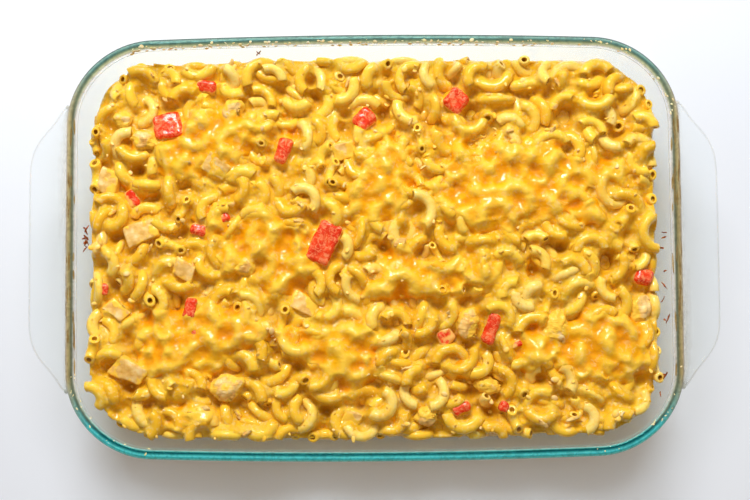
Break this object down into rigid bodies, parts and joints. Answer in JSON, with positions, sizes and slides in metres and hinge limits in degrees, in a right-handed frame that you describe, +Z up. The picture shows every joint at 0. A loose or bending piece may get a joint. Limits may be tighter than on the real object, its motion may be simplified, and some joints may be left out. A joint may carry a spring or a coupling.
{
  "type": "chicken macaroni casserole in a glass baking dish",
  "caption": "Oblong clear glass baking dish with flat end handles, filled with baked elbow macaroni, chicken, diced tomato, onion and melted cheese.",
  "frame": {"origin": "under the middle of the dish, on the surface that it stands on", "axes": "+X along the dish from one handle to the other, +Z up out of the dish, +Y across it"},
  "size_m": [0.391, 0.24, 0.052],
  "materials": {
    "glass": "clear pressed glass with a faint blue-green tint in its thickness",
    "macaroni": "moist baked pasta and melted cheese, satin with glossy spots",
    "tomato": "wet cooked tomato, glossy",
    "onion": "soft translucent onion, satin",
    "chicken": "torn cooked chicken, fibrous and moist"
  },
  "bodies": {
    "root": {"glass_dish": "glass", "macaroni_bake": "macaroni", "tomato_01": "tomato", "tomato_02": "tomato", "tomato_03": "tomato", "tomato_04": "tomato", "tomato_05": "tomato", "tomato_06": "tomato", "tomato_07": "tomato", "tomato_08": "tomato", "tomato_09": "tomato", "tomato_10": "tomato", "tomato_11": "tomato", "tomato_12": "tomato", "tomato_13": "tomato", "tomato_14": "tomato", "tomato_15": "tomato", "tomato_16": "tomato", "tomato_17": "tomato", "tomato_18": "tomato", "onion_01": "onion", "onion_02": "onion", "onion_03": "onion", "onion_04": "onion", "onion_05": "onion", "onion_06": "onion", "onion_07": "onion", "onion_08": "onion", "onion_09": "onion", "chicken_01": "chicken", "chicken_02": "chicken", "chicken_03": "chicken", "chicken_04": "chicken", "chicken_05": "chicken", "chicken_06": "chicken", "chicken_07": "chicken", "chicken_08": "chicken", "chicken_09": "chicken", "chicken_10": "chicken"}
  },
  "joints": []
}
